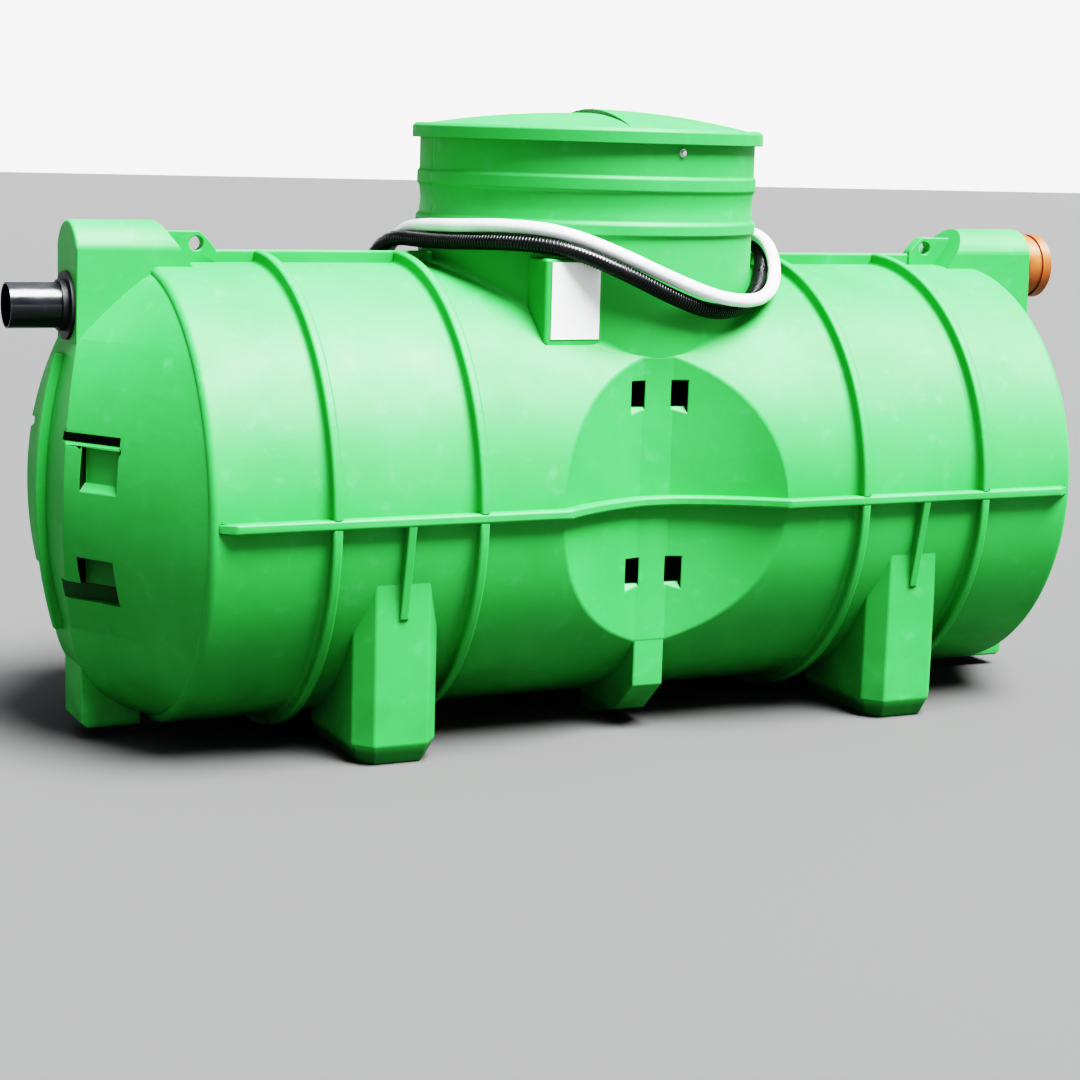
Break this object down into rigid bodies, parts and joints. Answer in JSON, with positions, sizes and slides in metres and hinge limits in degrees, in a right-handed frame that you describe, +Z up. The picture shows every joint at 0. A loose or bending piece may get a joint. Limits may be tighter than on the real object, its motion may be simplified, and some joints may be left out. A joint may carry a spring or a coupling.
{
  "type": "packaged sewage treatment plant",
  "caption": "Ribbed horizontal moulded tank with a round access neck and screwed lid, pipe connections at both ends, feet, lifting eyes and hoses round the neck.",
  "frame": {"origin": "Centre of the box of the tank and its pipes, on the floor that the feet and rib bottoms stand on.", "axes": "X along the tank with the inlet socket at +X, Y across it with the label plate on the -Y side, Z up."},
  "size_m": [3.0075, 1.2, 1.573],
  "materials": {
    "green_polyethylene": "rotationally moulded polyethylene with a fine grain",
    "black_pipe": "smooth extruded plastic",
    "orange_pipe": "smooth drain pipe plastic",
    "rubber_seal": "matt rubber",
    "white_hose": "smooth hose",
    "black_conduit": "corrugated conduit",
    "plate_white": "bare white plate"
  },
  "bodies": {
    "root": {"air_hose": "white_hose", "barrel_left_lower_back": "green_polyethylene", "barrel_left_lower_front": "green_polyethylene", "barrel_left_upper_back": "green_polyethylene", "barrel_left_upper_front": "green_polyethylene", "barrel_right_lower_back": "green_polyethylene", "barrel_right_lower_front": "green_polyethylene", "barrel_right_upper_back": "green_polyethylene", "barrel_right_upper_front": "green_polyethylene", "cable_conduit": "black_conduit", "centre_feet": "green_polyethylene", "end_foot_left": "green_polyethylene", "end_foot_right": "green_polyethylene", "foot_back_left": "green_polyethylene", "foot_back_right": "green_polyethylene", "foot_front_left": "green_polyethylene", "foot_front_right": "green_polyethylene", "hoop_rib_1": "green_polyethylene", "hoop_rib_2": "green_polyethylene", "hoop_rib_3": "green_polyethylene", "hoop_rib_4": "green_polyethylene", "hose_glands": "black_pipe", "inlet_housing": "green_polyethylene", "inlet_socket": "orange_pipe", "label_box": "green_polyethylene", "label_plate": "plate_white", "left_end": "green_polyethylene", "lid": "green_polyethylene", "lifting_lugs": "green_polyethylene", "mid_flange_back": "green_polyethylene", "mid_flange_front": "green_polyethylene", "neck_back": "green_polyethylene", "neck_front": "green_polyethylene", "outlet_housing": "green_polyethylene", "outlet_pipe": "black_pipe", "outlet_seal": "rubber_seal", "right_end": "green_polyethylene", "riser_back": "green_polyethylene", "riser_front": "green_polyethylene", "top_spine_left": "green_polyethylene", "top_spine_right": "green_polyethylene", "waist_lower_back": "green_polyethylene", "waist_lower_front": "green_polyethylene", "waist_upper_back": "green_polyethylene", "waist_upper_front": "green_polyethylene"}
  },
  "joints": []
}
